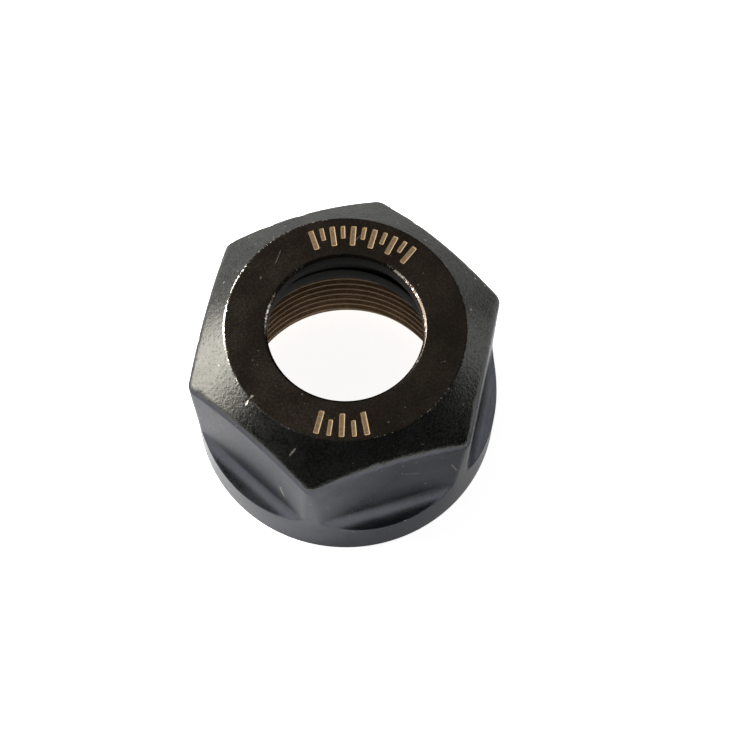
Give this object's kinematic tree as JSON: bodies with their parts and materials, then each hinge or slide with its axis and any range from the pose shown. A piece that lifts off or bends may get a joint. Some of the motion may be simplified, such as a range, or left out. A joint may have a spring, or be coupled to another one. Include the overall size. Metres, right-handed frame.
{
  "type": "collet clamping nut",
  "caption": "Hexagonal clamping nut with a round flange, nose cone, front opening and fine internal thread; pulls a spring collet into its taper to grip a shaft.",
  "frame": {"origin": "centre of the underside, on the thread axis, in the plane the flange stands on", "axes": "+Z along the thread axis from the threaded end to the front face; two of the hexagon's flats face -Y and +Y, and two of its corners lie on +X and -X"},
  "size_m": [0.0194, 0.019, 0.0127],
  "materials": {
    "black_oxide_steel": "black oxide over machined steel: fine turned rings on the front face, bead-blasted grain on the nose cone, smooth milled flats, satin sheen"
  },
  "bodies": {
    "root": {"collet_nut": "black_oxide_steel"}
  },
  "joints": []
}
